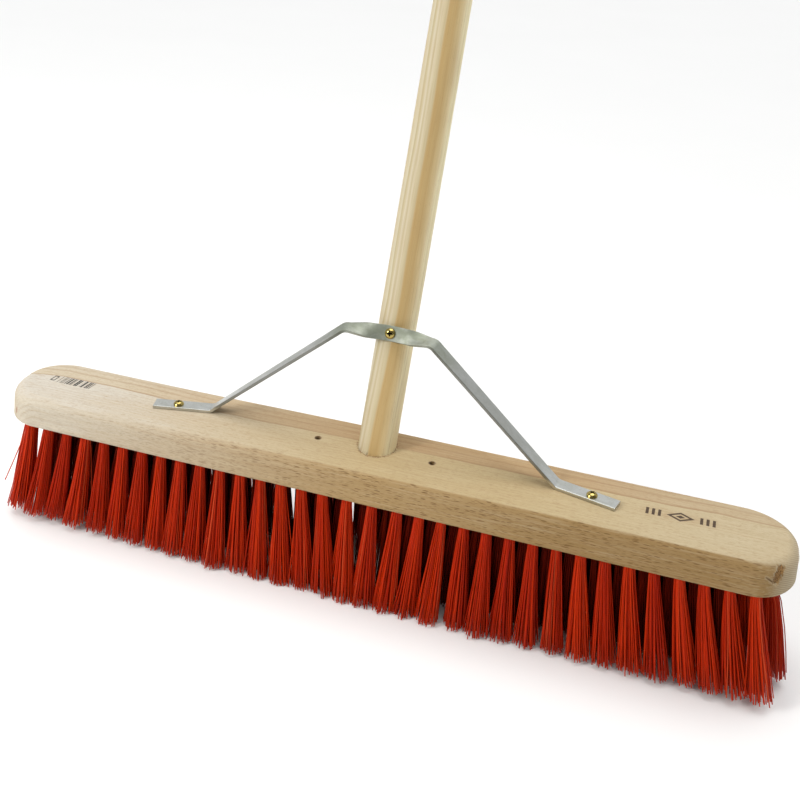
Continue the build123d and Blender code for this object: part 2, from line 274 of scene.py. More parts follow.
    # knot and check at one corner, a bruise at the other end
    dk = k.m2("ADD", segment_distance(k, p, KNOT_A, KNOT_B), k.m2("MULTIPLY", k.m2("SUBTRACT", k.noise(p, 0.55, 3.0, 0.7), 0.5), 5.2))
    knot = k.step(dk, 3.0, 1.9)
    ktone = k.noise(p, 1.3, 3.0, 0.7)
    col = k.mix(k.m2("MULTIPLY", knot, 0.9), col, k.mix(k.step(ktone, 0.35, 0.65), rgb(112, 78, 40), rgb(160, 122, 74)))
    dc = segment_distance(k, p, CRACK_A, CRACK_B)
    col = k.mix(k.step(dc, 1.9, 0.9, 0.0, 0.25), col, rgb(206, 190, 156))
    col = k.mix(k.step(dc, 0.95, 0.5, 0.0, 0.85), col, rgb(112, 78, 42))
    db = k.vm("LENGTH", k.vm("MULTIPLY", k.vm("SUBTRACT", p, (-290.3, -31.0, 93.6)), (0.9, 0.9, 0.36)))
    col = k.mix(k.step(k.m2("ADD", db, k.m2("MULTIPLY", k.noise(p, 1.1, 2.0, 0.6), 1.0)), 2.0, 1.2, 0.0, 0.75), col, rgb(150, 96, 70))
    # burnt-in mark: a lozenge between plain bars
    hot = k.noise(p, 1.6, 3.0, 0.7)
    bx = k.m2("ABSOLUTE", k.m2("ADD", k.m2("SUBTRACT", x, 224.0), k.m2("MULTIPLY", k.m2("SUBTRACT", hot, 0.5), 0.5)))
    by = k.m2("ABSOLUTE", k.m2("ADD", k.m2("SUBTRACT", y, k.m2("ADD", 1.4, k.m2("MULTIPLY", k.m2("SUBTRACT", x, 224.0), 0.022))), k.m2("MULTIPLY", k.m2("SUBTRACT", hot, 0.5), 0.5)))
    loz = k.m2("ADD", k.m2("DIVIDE", bx, 9.5), k.m2("DIVIDE", by, 5.4))
    ringm = k.m2("MULTIPLY", k.step(loz, 1.05, 0.97), k.step(loz, 0.60, 0.68))
    dot = k.step(loz, 0.38, 0.30)
    u = k.m2("PINGPONG", k.m2("SUBTRACT", bx, 12.2), 2.1)
    bars = k.m2("MULTIPLY", k.step(u, 0.95, 1.2), k.m2("MULTIPLY", k.step(by, 4.1, 3.75), k.m2("MULTIPLY", k.step(bx, 11.9, 12.2), k.step(bx, 25.2, 24.9))))
    mark = k.m2("MAXIMUM", k.m2("MAXIMUM", ringm, dot), bars)
    mark = k.m2("MULTIPLY", k.m2("MULTIPLY", mark, topf), k.step(hot, 0.25, 0.5, 0.72, 1.0))
    glow = k.m2("MULTIPLY", k.m2("MULTIPLY", k.step(bx, 29.0, 23.0), k.step(by, 8.0, 4.0)), k.m2("MULTIPLY", topf, 0.10))
    col = k.mix(glow, col, rgb(150, 104, 62))
    col = k.mix(k.m2("MULTIPLY", mark, 0.93), col, rgb(54, 36, 26))
    # inked bar pattern with no meaning
    ix = k.m2("ADD", k.m2("SUBTRACT", x, -256.0), k.m2("MULTIPLY", k.m2("SUBTRACT", y, 2.0), -0.10))
    iy = k.m2("SUBTRACT", y, 2.0)
    strokes = k.new("ShaderNodeTexNoise", {"W": k.m2("MULTIPLY", ix, 1.0), "Scale": 0.62, "Detail": 1.0, "Roughness": 0.5}, noise_dimensions="1D").outputs[0]
    ink = k.step(strokes, 0.485, 0.515)
    ink = k.m2("MULTIPLY", ink, k.m2("MULTIPLY", k.step(k.m2("ABSOLUTE", ix), 15.2, 14.8), k.step(k.m2("ABSOLUTE", iy), 5.2, 4.9)))
    blockm = k.m2("MULTIPLY", k.step(k.m2("ABSOLUTE", k.m2("ADD", ix, 20.0)), 2.2, 1.9), k.step(k.m2("ABSOLUTE", iy), 4.0, 3.7))
    hole = k.m2("MULTIPLY", k.step(k.m2("ABSOLUTE", k.m2("ADD", ix, 20.0)), 1.3, 1.0), k.step(k.m2("ABSOLUTE", iy), 2.9, 2.6))
    ink = k.m2("MAXIMUM", ink, k.m2("SUBTRACT", blockm, hole, clamp=True))
    worn = k.step(k.noise(k.scale(p, 0.5, 1.8, 1.8), 1.0, 3.0, 0.7), 0.30, 0.45, 0.75, 1.0)
    ink = k.m2("MULTIPLY", k.m2("MULTIPLY", ink, topf), worn)
    col = k.mix(k.m2("MULTIPLY", ink, 0.95), col, rgb(24, 23, 24))
    # inside of the drilled holes: painted shade on the spare holes' walls
    spare_hole_wall_shade = k.m2("MULTIPLY", k.step(z, TOP - 0.4, TOP - 3.0), k.m2("MULTIPLY", k.step(k.m2("ABSOLUTE", y), 30.0, 27.0), k.step(k.m2("ABSOLUTE", k.m2("SUBTRACT", k.m2("ABSOLUTE", x), 45.0)), 4.0, 3.0)))
    col = k.mix(k.m2("MULTIPLY", spare_hole_wall_shade, 0.7), col, rgb(92, 52, 34))
    sy = k.m2("MULTIPLY", k.m2("SUBTRACT", y, HANDLE_Y), math.cos(LEAN))
    rim = k.m2("SUBTRACT", k.m2("SQRT", k.m2("ADD", k.m2("MULTIPLY", x, x), k.m2("MULTIPLY", sy, sy))), HANDLE_D / 2)
    # painted shade: the spare holes' bottoms and a ring round their rims on the top are coloured dark
    hd = k.m2("SQRT", k.m2("ADD", k.m2("POWER", k.m2("SUBTRACT", k.m2("ABSOLUTE", x), 45.0), 2.0), k.m2("MULTIPLY", y, y)))
    spare = k.m2("MULTIPLY", k.step(k.m2("ADD", hd, k.m2("MULTIPLY", k.noise(p, 1.1, 2.0, 0.6), 1.2)), 3.8, 2.9), topf)
    col = k.mix(k.m2("MULTIPLY", spare, 0.75), col, rgb(92, 54, 34))
    rimf = k.m2("MULTIPLY", k.step(k.m2("ADD", rim, k.m2("MULTIPLY", k.step(k.noise(p, 0.8, 2.0, 0.6), 0.38, 0.62), 2.0)), 2.3, 1.0), topf)
    col = k.mix(k.m2("MULTIPLY", rimf, 0.70), col, rgb(120, 84, 48))
    k.put(k.bsdf.inputs["Base Color"], col)
    k.put(k.bsdf.inputs["Roughness"], k.m2("ADD", 0.58, k.m2("MULTIPLY", fibre, 0.18)))
    k.bsdf.inputs["Specular IOR Level"].default_value = 0.28
    h = k.m2("ADD", k.m2("MULTIPLY", fibre, 0.5), k.m2("MULTIPLY", dash, -0.9))
    h = k.m2("ADD", h, k.m2("MULTIPLY", mark, -1.2))
    h = k.m2("ADD", h, k.m2("MULTIPLY", k.m2("MULTIPLY", knot, ktone), -1.0))
    k.put(k.bsdf.inputs["Normal"], k.bump(h, 0.35, 0.00025))
    return k.m


def wood_handle():
    k = Net("pine_handle")
    p = k.scale(k.coords(), 1000, 1000, 1000)
    x, y, z = k.xyz(p)
    # handle's own axes: s along it, x across, w through it
    yy, zz = k.m2("SUBTRACT", y, HANDLE_Y), k.m2("SUBTRACT", z, TOP)
    s = k.m2("ADD", k.m2("MULTIPLY", yy, math.sin(LEAN)), k.m2("MULTIPLY", zz, math.cos(LEAN)))
    w = k.m2("SUBTRACT", k.m2("MULTIPLY", yy, math.cos(LEAN)), k.m2("MULTIPLY", zz, math.sin(LEAN)))
    q = k.vec(x, w, s)
    # growth layers run almost straight through the dowel
    g = k.m2("DIVIDE", k.m2("ADD", k.m2("MULTIPLY", x, 0.964), k.m2("MULTIPLY", w, 0.2655)), HANDLE_D)
    t = k.m2("ADD", g, 0.5)
    drift = k.m2("MULTIPLY", k.m2("SUBTRACT", k.noise(k.scale(q, 0.01, 0.01, 0.006), 1.0, 2.0, 0.5), 0.5), 0.16)
    base = k.step(s, 115.0, 5.0, 0.0, 0.11)
    fine = k.m2("MULTIPLY", k.m2("SUBTRACT", k.noise(k.scale(q, 0.2, 0.2, 0.02), 1.0, 2.0, 0.5), 0.5), 0.03)
    t = k.m2("ADD", t, k.m2("ADD", base, k.m2("ADD", drift, fine)))
    stops = [(0.00, rgb(192, 178, 144)), (0.05, rgb(198, 188, 160)), (0.085, rgb(202, 194, 168)), (0.115, rgb(180, 164, 128)), (0.15, rgb(194, 182, 150)),
             (0.185, rgb(204, 194, 168)), (0.235, rgb(188, 172, 138)), (0.27, rgb(202, 190, 160)), (0.34, rgb(198, 184, 150)), (0.405, rgb(192, 178, 142)), (0.435, rgb(194, 166, 118)),
             (0.465, rgb(190, 160, 106)), (0.56, rgb(196, 168, 116)), (0.63, rgb(200, 170, 116)), (0.70, rgb(216, 190, 138)), (0.80, rgb(234, 212, 162)), (0.85, rgb(244, 228, 184)), (0.90, rgb(250, 238, 198)),
             (0.93, rgb(240, 224, 180)), (0.955, rgb(250, 238, 196)), (1.0, rgb(246, 230, 186))]
    col = k.ramp(t, stops)
    fibre = k.noise(k.scale(q, 1.7, 1.7, 0.03), 1.0, 3.0, 0.6)
    col = k.mix(k.step(fibre, 0.45, 0.75, 0.0, 0.30), col, rgb(164, 134, 88))
    ducts = k.voronoi(k.scale(q, 1.4, 1.4, 0.12), 1.0)
    col = k.mix(k.m2("MULTIPLY", k.step(ducts.outputs["Distance"], 0.18, 0.06), k.step(t, 0.40, 0.48, 0.10, 0.35)), col, rgb(152, 106, 60))
    blot = k.noise(k.scale(q, 0.07, 0.07, 0.02), 1.0, 2.0, 0.5)
    col = k.mix(k.step(blot, 0.45, 0.75, 0.0, 0.20), col, rgb(180, 146, 98))
    k.put(k.bsdf.inputs["Base Color"], col)
    k.put(k.bsdf.inputs["Roughness"], k.m2("ADD", 0.50, k.m2("MULTIPLY", fibre, 0.2)))
    k.bsdf.inputs["Specular IOR Level"].default_value = 0.3
    k.put(k.bsdf.inputs["Normal"], k.bump(k.m2("ADD", fibre, k.m2("MULTIPLY", ducts.outputs["Distance"], 0.3)), 0.3, 0.0002))
    return k.m


def zinc():
    k = Net("zinc_plate")
    p = k.scale(k.coords(), 1000, 1000, 1000)
    cloud = k.noise(k.scale(p, 0.07, 0.10, 0.10), 1.0, 4.0, 0.6, 0.6)
    spang = k.noise(k.scale(p, 0.7, 0.7, 0.7), 1.0, 3.0, 0.7)
    scr = k.noise(k.vm("ADD", k.scale(p, 0.25, 4.0, 4.0), k.vec(0.0, 0.0, 3.0)), 1.0, 2.0, 0.6)
    x, y, z = k.xyz(p)
    high = k.m2("MULTIPLY", k.step(k.m2("ABSOLUTE", x), 62.0, 34.0), k.step(z, TOP + 6.0, TOP + 60.0))   # the strap is duller: rougher, and coloured darker than the legs, the darker colour being painted shade
    col = k.mix(k.step(cloud, 0.35, 0.65), k.mix(high, rgb(206, 207, 203), rgb(164, 168, 158)), k.mix(high, rgb(192, 193, 186), rgb(142, 147, 132)))
    col = k.mix(k.step(spang, 0.5, 0.75, 0.0, 0.30), col, rgb(132, 135, 122))
    nx, ny, nz = k.xyz(k.new("ShaderNodeNewGeometry").outputs["Normal"])
    # painted shade: the legs above the feet are coloured darker than the feet
    leg_shade = k.m2("MULTIPLY", k.step(z, TOP + 5.0, TOP + 30.0), k.m2("SUBTRACT", 1.0, high))
    col = k.mix(k.m2("MULTIPLY", leg_shade, 0.45), col, rgb(150, 151, 146))
    edge_face_shade = k.m2("MULTIPLY", k.step(k.m2("ABSOLUTE", ny), 0.55, 0.9), k.m2("MULTIPLY", k.step(k.m2("ABSOLUTE", x), 30.0, 36.0), k.step(z, TOP + 3.4, TOP + 8.0)))   # painted shade: leg edge faces turned to the front or back are coloured dark
    col = k.mix(k.m2("MULTIPLY", edge_face_shade, 0.65), col, rgb(84, 84, 76))
    k.put(k.bsdf.inputs["Base Color"], col)
    k.bsdf.inputs["Metallic"].default_value = 1.0
    k.put(k.bsdf.inputs["Roughness"], k.m2("ADD", k.m2("ADD", 0.22, k.m2("MULTIPLY", high, 0.26)), k.m2("ADD", k.m2("MULTIPLY", cloud, 0.14), k.m2("MULTIPLY", scr, 0.08))))
    h = k.m2("ADD", k.m2("MULTIPLY", scr, 0.5), k.m2("MULTIPLY", spang, 0.5))
    k.put(k.bsdf.inputs["Normal"], k.bump(h, 0.2, 0.0001))
    return k.m


def yellow_zinc():
    k = Net("yellow_zinc")
    p = k.scale(k.coords(), 1000, 1000, 1000)
    n = k.noise(k.scale(p, 0.5, 0.5, 0.5), 1.0, 3.0, 0.6)
    fine = k.noise(k.scale(p, 3.0, 3.0, 3.0), 1.0, 2.0, 0.6)
    col = k.ramp(n, [(0.3, rgb(150, 128, 64)), (0.5, rgb(184, 164, 98)), (0.7, rgb(136, 130, 80))])
    # painted shade: the cross recess and other tight hollows are coloured near black from an occlusion test
    ao = k.new("ShaderNodeAmbientOcclusion", {"Distance": 0.0016}, samples=8, only_local=True)
    col = k.mix(k.step(ao.outputs["AO"], 0.80, 0.45), col, rgb(34, 30, 22))
    k.put(k.bsdf.inputs["Base Color"], col)
    k.bsdf.inputs["Metallic"].default_value = 1.0
    k.put(k.bsdf.inputs["Roughness"], k.m2("ADD", 0.16, k.m2("MULTIPLY", fine, 0.16)))
    k.put(k.bsdf.inputs["Normal"], k.bump(fine, 0.15, 0.00008))
    return k.m


def wire():
    k = Net("drawn_wire")
    p = k.scale(k.coords(), 1000, 1000, 1000)
    n = k.noise(k.scale(p, 0.5, 4.0, 4.0), 1.0, 3.0, 0.6)
    k.put(k.bsdf.inputs["Base Color"], k.mix(n, rgb(150, 150, 146), rgb(190, 190, 184)))
    k.bsdf.inputs["Metallic"].default_value = 1.0
    k.put(k.bsdf.inputs["Roughness"], k.m2("ADD", 0.3, k.m2("MULTIPLY", n, 0.15)))
    k.put(k.bsdf.inputs["Normal"], k.bump(n, 0.2, 0.0001))
    return k.m


def bristle():
    k = Net("red_filament")
    p = k.scale(k.coords(), 1000, 1000, 1000)
    att = k.new("ShaderNodeAttribute", attribute_name="tone", attribute_type="GEOMETRY")
    tone, tip, own = k.xyz(att.outputs["Vector"])
    streak = k.noise(k.scale(p, 1.2, 1.2, 0.12), 1.0, 2.0, 0.6)
    col = k.mix(tone, rgb(170, 29, 0), rgb(214, 55, 4))
    col = k.mix(k.step(streak, 0.35, 0.7, 0.0, 0.25), col, rgb(150, 20, 0))
    # painted highlight: the few filaments with own above about 0.96 are coloured pale pink, standing in for glints
    col = k.mix(k.step(own, 0.955, 0.975, 0.0, 0.55), col, rgb(212, 92, 52))
    col = k.mix(k.m2("MULTIPLY", k.step(tip, 0.985, 1.0), 0.35), col, rgb(206, 76, 34))
    # painted shade: filaments marked with a negative own value, the inner rows away from the ends, are coloured much
    # darker
    col = k.mix(k.step(own, -0.4, -0.6, 0.0, 0.62), col, rgb(44, 10, 4))
    k.put(k.bsdf.inputs["Base Color"], col)
    k.put(k.bsdf.inputs["Roughness"], k.m2("ADD", 0.34, k.m2("MULTIPLY", k.m2("ABSOLUTE", own), 0.1)))
    k.bsdf.inputs["Specular IOR Level"].default_value = 0.10
    k.put(k.bsdf.inputs["Normal"], k.bump(streak, 0.12, 0.00015))
    return k.m


def floor_mat():
    k = Net("pale_floor")
    n = k.noise(k.coords(), 3.0, 3.0, 0.5)
    k.put(k.bsdf.inputs["Base Color"], k.mix(n, (0.88, 0.88, 0.88, 1), (0.90, 0.90, 0.90, 1)))
    k.bsdf.inputs["Roughness"].default_value = 0.9
    k.bsdf.inputs["Specular IOR Level"].default_value = 0.05
    return k.m


M = {"block": wood_block(), "handle": wood_handle(), "zinc": zinc(), "screw": yellow_zinc(), "wire": wire(), "bristle": bristle(), "floor": floor_mat()}


def dress(node, mat):
    for s in nodes[node].material_slots:
        s.material = mat


dress("stay", M["zinc"])
for n in ("foot_screw_left", "foot_screw_right", "handle_screw"):
    dress(n, M["screw"])
for i in range(1, len(ROWS) + 1):
    dress(f"anchor_row_{i}", M["wire"])


def mesh_object(name, verts, faces, mat, smooth=True):
    me = bpy.data.meshes.new(name)
    me.from_pydata([tuple(v) for v in verts], [], faces)
    me.update()
    me.polygons.foreach_set("use_smooth", [bool(smooth)] * len(me.polygons))
    me.materials.append(mat)
    o = bpy.data.objects.new(name, me)
    scene.collection.objects.link(o)
    return o


def smooth01(t):
    t = min(1.0, max(0.0, t))
    return t * t * (3 - 2 * t)


# ------------------------------------------------------------------ block, with its rolled edges, holes and the damaged corner
def ring_points(z, ix, iy, roll):
    """One closed outline at height z; roll is how far round the top edge it is, 0 to 1."""
    fr = (TOP - z) / HEAD_H
    x = HEAD_L / 2 - END_SLOPE * (1 - fr) - ix
    y = HEAD_W / 2 - SIDE_SLOPE * (1 - fr) - iy
    ca, cb = END_A, min(END_B, y - 3.0)
    out = []
    n_side, n_end = 170, 8

    def add(px, py):
        extra = 5.2 * smooth01(-(px + 10) / 200.0) * roll * min(1.0, abs(py) / (y - 1e-6)) ** 2
        out.append((px, py - math.copysign(extra, py)))
    for i in range(n_side):
        add((x - ca) - 2 * (x - ca) * i / n_side, y)
    for i in range(48):
        a = math.pi / 2 + math.pi / 2 * i / 48
        add(-x + ca + ca * math.cos(a), y - cb + cb * math.sin(a))
    for i in range(n_end):
        add(-x, (y - cb) - 2 * (y - cb) * i / n_end)
    for i in range(48):
        a = math.pi + math.pi / 2 * i / 48
        add(-x + ca + ca * math.cos(a), -y + cb + cb * math.sin(a))
    for i in range(n_side):
        add(-(x - ca) + 2 * (x - ca) * i / n_side, -y)
    for i in range(130):
        a = 1.5 * math.pi + math.pi / 2 * i / 130
        add(x - ca + ca * math.cos(a), -y + cb + cb * math.sin(a))
    for i in range(n_end):
        add(x, -(y - cb) + 2 * (y - cb) * i / n_end)
    for i in range(48):
        a = math.pi / 2 * i / 48
        add(x - ca + ca * math.cos(a), y - cb + cb * math.sin(a))
    return out


def seg_dist(p, a, b):
    a, b, p = Vector(a), Vector(b), Vector(p)
    t = max(0.0, min(1.0, (p - a).dot(b - a) / (b - a).length_squared))
    return (p - a.lerp(b, t)).length


def cap(outline, holes, z, up):
    """Flat face at height z inside outline with the holes left open; returns verts, faces and each hole's vertex numbers."""
    pts, edges, spans = [], [], []
    for loop in [outline] + holes:
        b = len(pts)
        pts += [Vector((q[0], q[1])) for q in loop]
        edges += [(b + i, b + (i + 1) % len(loop)) for i in range(len(loop))]
        spans.append((b, len(loop)))
    vs, _, fs, ov, _, _ = delaunay_2d_cdt(pts, edges, [], 1, 1e-5)
    remap = {}
    for new, olds in enumerate(ov):
        for old in olds:
            remap[old] = new
    disks = [(sum(q[0] for q in h) / len(h), sum(q[1] for q in h) / len(h), h) for h in holes]

    def inside(cx, cy):
        for hx, hy, h in disks:
            rx = max(abs(q[0] - hx) for q in h) + 0.01
            ry = max(abs(q[1] - hy) for q in h) + 0.01
            if ((cx - hx) / rx) ** 2 + ((cy - hy) / ry) ** 2 < 0.97:
                return True
        return False
    faces = []
    for f in fs:
        c = (vs[f[0]] + vs[f[1]] + vs[f[2]]) / 3
        if not inside(c.x, c.y):
            faces.append(tuple(f) if up else tuple(reversed(f)))
    return [Vector((v.x, v.y, z)) for v in vs], faces, [[remap[b + i] for i in range(n)] for b, n in spans]


def build_block():
    levels = []
    for i in range(8):
        a = math.radians(90 - 90 * i / 7)
        s = 1 - math.cos(a)
        levels.append((BRISTLE + 2.8 * (1 - math.sin(a)), 2.8 * s, 2.8 * s, 0.0))
    for i in range(1, 25):
        levels.append((BRISTLE + 2.8 + (TOP - 8.5 - BRISTLE - 2.8) * i / 24, 0.0, 0.0, 0.0))
    for i in range(1, 25):
        a = math.radians(90 * i / 24)
        s = 1 - math.cos(a)
        levels.append((TOP - 8.5 * (1 - math.sin(a)), 8.5 * s, 2.7 * s, s))
    V, F = [], []
    loops = []
    for z, ix, iy, roll in levels:
        pts = ring_points(z, ix, iy, roll)
        loops.append(pts)
        V += [Vector((px, py, z)) for px, py in pts]
    n = len(loops[0])
    for j in range(len(levels) - 1):
        for i in range(n):
            k = (i + 1) % n
            F.append((j * n + i, j * n + k, (j + 1) * n + k, (j + 1) * n + i))
    # shape of the worn surface
    for idx, v in enumerate(V):
        j = idx // n
        if j in (0, len(levels) - 1):
            continue
        out = Vector((0, 0, 0))
        out.y = math.copysign(min(1.0, abs(v.y) / 30.0), v.y)
        out.x = math.copysign(max(0.0, (abs(v.x) - 285) / 20.0), v.x)
        if out.length > 0:
            out.normalize()
        w = noise.noise(Vector((v.x * 0.011, v.y * 0.05, v.z * 0.06))) * 0.28 + noise.noise(Vector((v.x * 0.05, v.y * 0.12, v.z * 0.15 + 7))) * 0.08
        d = seg_dist(v, KNOT_A, KNOT_B) + noise.noise(v * 0.55) * 2.2
        w -= 1.15 * smooth01((3.2 - d) / 2.0) * (0.75 + 0.6 * noise.noise(v * 1.4 + Vector((3, 1, 2))))
        dc = seg_dist(v, CRACK_A, CRACK_B)
        w -= 0.7 * smooth01((0.75 - dc) / 0.6)
        V[idx] = v + out * w
    # underside with its tuft holes
    rnd = random.Random(77)
    holes = []
    for r, yy in enumerate(ROWS):
        for xx in row_positions(r):
            holes.append([(xx + HOLE_R * math.cos(2 * math.pi * i / 24), yy + HOLE_R * math.sin(2 * math.pi * i / 24)) for i in range(24)])
    cv, cf, spans = cap(loops[0], holes, BRISTLE, up=False)
    b = len(V)
    V += cv
    F += [tuple(b + i for i in f) for f in cf]
    for sp in spans[1:]:
        h0 = len(V)
        V += [Vector((cv[i].x, cv[i].y, BRISTLE + TUFT_DEPTH)) for i in sp]
        m = len(sp)
        for i in range(m):
            F.append((b + sp[i], b + sp[(i + 1) % m], h0 + (i + 1) % m, h0 + i))
        F.append(tuple(h0 + i for i in reversed(range(m))))
    # top with the socket, the two spare holes and the pilot holes under the stay
    axis = Vector((0, math.sin(LEAN), math.cos(LEAN)))
    holes, depths = [], []
    R = HANDLE_D / 2 + 0.1
    sock = []
    for i in range(96):
        a = 2 * math.pi * i / 96
        chip = 0.0
        for ca, cw, cd in ((4.1, 0.10, 0.8), (5.15, 0.07, 0.6), (5.9, 0.12, 0.9), (0.35, 0.08, 0.7), (3.55, 0.06, 0.5)):
            da = abs((a - ca + math.pi) % (2 * math.pi) - math.pi)
            chip = max(chip, cd * smooth01((cw - da) / (cw * 0.7)))
        rr = R + 0.06 * noise.noise(Vector((a * 6, 0.3, 0))) + chip
        sock.append((rr * math.cos(a), HANDLE_Y + rr * math.sin(a) / math.cos(LEAN)))
    holes.append(sock)
    depths.append(axis * -SOCKET_DEPTH)
    for hx, hr, hd in ((-45.0, 2.25, 16.0), (45.0, 2.25, 16.0), (-162.4, 1.86, 14.9), (162.4, 1.86, 14.9)):
        rag = 0.16 if abs(hx) == 45 else 0.0
        holes.append([(hx + (hr + rag * rnd.uniform(-0.4, 1)) * math.cos(2 * math.pi * i / 28), (hr + rag * rnd.uniform(-0.4, 1)) * math.sin(2 * math.pi * i / 28)) for i in range(28)])
        depths.append(Vector((0, 0, -hd)))
    cv, cf, spans = cap(loops[-1], holes, TOP, up=True)
    b = len(V)
    V += cv
    F += [tuple(b + i for i in f) for f in cf]
    for sp, d in zip(spans[1:], depths):
        m = len(sp)
        h0 = len(V)
        step = 0.8 / d.length
        V += [cv[i] + d * step for i in sp]
        h1 = len(V)
        if abs(d.y) > 0:
            # true socket bore below the chipped rim
            V += [Vector((0, HANDLE_Y, TOP)) + d + Vector((1, 0, 0)) * (R * math.cos(2 * math.pi * i / m)) + Vector((0, math.cos(LEAN), -math.sin(LEAN))) * (R * math.sin(2 * math.pi * i / m)) for i in range(m)]
        else:
            V += [cv[i] + d for i in sp]
        for i in range(m):
            k = (i + 1) % m
            F.append((b + sp[k], b + sp[i], h0 + i, h0 + k))
            F.append((h0 + k, h0 + i, h1 + i, h1 + k))
        F.append(tuple(h1 + i for i in range(m)))
    o = mesh_object("block", [v * MM for v in V], F, M["block"])
    bm = bmesh.new()
    bm.from_mesh(o.data)
    bmesh.ops.remove_doubles(bm, verts=bm.verts, dist=2e-6)
    bmesh.ops.recalc_face_normals(bm, faces=bm.faces)
    for f in bm.faces:                                 # the flat top and underside are shaded flat
        if abs(f.normal.z) > 0.9999:
            f.smooth = False
    for e in bm.edges:
        if len(e.link_faces) == 2 and e.calc_face_angle(0) > math.radians(38):
            e.smooth = False
    bm.to_mesh(o.data)
    bm.free()
    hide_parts("head_block")
    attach(o, "root")
    return o


build_block()


# ------------------------------------------------------------------ handle
def build_handle():
    axis = Vector((0, math.sin(LEAN), math.cos(LEAN)))
    across = Vector((0, math.cos(LEAN), -math.sin(LEAN)))
    base = Vector((0, HANDLE_Y, TOP))
    R = HANDLE_D / 2
    start, end = -SOCKET_DEPTH + 0.06, HANDLE_L - SOCKET_DEPTH + 0.06
    prof = [(start, 0.0), (start, R - 1.2), (start + 1.2, R), (-6, R), (-2, R), (0, R), (2, R), (5, R), (10, R)]
    s = 18.0
    while s < end - 14.0:
        prof.append((s, R))
        s += 9.0
    for i in range(0, 15):
        a = math.radians(90 * i / 14)
        prof.append((end - 12 + 12 * math.sin(a), R - 12 + 12 * math.cos(a)))
    prof.append((end, 0.0))
    N = 96
    V, F = [], []
    for (s, r) in prof:
        if r == 0.0:
            V.append(base + axis * s)
            continue
        for i in range(N):
            a = 2 * math.pi * i / N
            wob = 1.0 + 0.0045 * noise.noise(Vector((math.cos(a) * 1.3, math.sin(a) * 1.3, s * 0.008))) + 0.0016 * noise.noise(Vector((a * 5.0, s * 0.03, 4.0)))
            V.append(base + axis * s + (Vector((1, 0, 0)) * math.cos(a) + across * math.sin(a)) * (r * (wob if -1 < s else 1.0)))
    first = 1
    rows = len(prof) - 2
    for i in range(N):
        F.append((0, first + (i + 1) % N, first + i))
    for j in range(rows - 1):
        for i in range(N):
            k = (i + 1) % N
            F.append((first + j * N + i, first + j * N + k, first + (j + 1) * N + k, first + (j + 1) * N + i))
    last = first + (rows - 1) * N
    for i in range(N):
        F.append((last + i, last + (i + 1) % N, len(V) - 1))
    # slivers raised at the rim when the handle was driven in
    rnd = random.Random(12)
    for k in range(30):
        a = rnd.uniform(0, 2 * math.pi) if k > 16 else math.radians(rnd.uniform(180, 365))
        n = Vector((1, 0, 0)) * math.cos(a) + across * math.sin(a)
        t = axis.cross(n)
        foot = math.tan(LEAN) * R * math.sin(a)          # where this side of the handle meets the block's top
        w, L = rnd.uniform(0.35, 1.1), rnd.uniform(1.2, 3.4)
        lift, th = rnd.uniform(0.25, 0.8), rnd.uniform(0.15, 0.3)
        p0 = base + n * (R - 0.15) + axis * (foot + L)
        p1 = base + n * (R + lift * 0.5) + axis * (foot + L * 0.45)
        p2 = base + n * (R + lift) + axis * (foot + 0.05) + t * rnd.uniform(-0.4, 0.4)
        b = len(V)
        for q, ww, hh in ((p0, 0.15 * w, 0.05), (p1, w, th), (p2, w * rnd.uniform(0.3, 0.9), th * 0.6)):
            V.extend([q - t * ww / 2, q + t * ww / 2, q + t * ww / 2 + n * hh, q - t * ww / 2 + n * hh])
        for j in range(2):
            for i in range(4):
                m = (i + 1) % 4
                F.append((b + j * 4 + i, b + j * 4 + m, b + j * 4 + 4 + m, b + j * 4 + 4 + i))
        F.append((b + 3, b + 2, b + 1, b))
        F.append((b + 8, b + 9, b + 10, b + 11))
    o = mesh_object("handle_turned", [v * MM for v in V], F, M["handle"])
    bm = bmesh.new()
    bm.from_mesh(o.data)
    bmesh.ops.recalc_face_normals(bm, faces=bm.faces)
    for e in bm.edges:
        if len(e.link_faces) == 2 and e.calc_face_angle(0) > math.radians(35):
            e.smooth = False
    bm.to_mesh(o.data)
    bm.free()
    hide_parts("handle")
    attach(o, "root")


build_handle()

# ------------------------------------------------------------------ filaments
SIDES = 6
# where each tuft of the front row ends, left to right
FRONT_TIPS = [-292.8, -276.3, -258.7, -239.8, -220.0, -201.1, -184.4, -167.1, -149.6, -131.8, -113.8, -95.6, -76.8, -57.9, -39.7, -22.3, -6.7,
              10.0, 27.1, 42.8, 59.8, 80.1, 98.2, 116.5, 134.4, 153.1, 171.8, 190.2, 208.8, 227.5, 246.6, 263.5, 279.5, 296.0]


def filament(V, F, A, pts, radius, tone, own):
    """A round filament through pts (mm), closed at its tip."""
    base = len(V)
    n = len(pts)
    pts = [Vector(p) for p in pts]
    ref = Vector((1, 0, 0))
    for i, p in enumerate(pts):
        d = (pts[min(i + 1, n - 1)] - pts[max(i - 1, 0)]).normalized()
        a = (ref - d * ref.dot(d)).normalized()
        b = d.cross(a)
        for j in range(SIDES):
            th = 2 * math.pi * j / SIDES + own * 6.0
            V.append((p + a * (radius * math.cos(th)) + b * (radius * math.sin(th))) * MM)
            A.append((tone, i / (n - 1), own))
    for i in range(n - 1):
        for j in range(SIDES):
            k = (j + 1) % SIDES
            F.append((base + i * SIDES + j, base + (i + 1) * SIDES + j, base + (i + 1) * SIDES + k, base + i * SIDES + k))
    c = len(V)
    d = (pts[-1] - pts[-2]).normalized()
    V.append((pts[-1] + d * radius * 0.12) * MM)
    A.append((tone, 1.0, own))
    last = base + (n - 1) * SIDES
    for j in range(SIDES):
        F.append((last + j, c, last + (j + 1) % SIDES))


def trim(x):
    return 7.6 * min(1.15, abs(x) / 305.0) ** 2


PER_TUFT = 80
FIL_R = 0.41


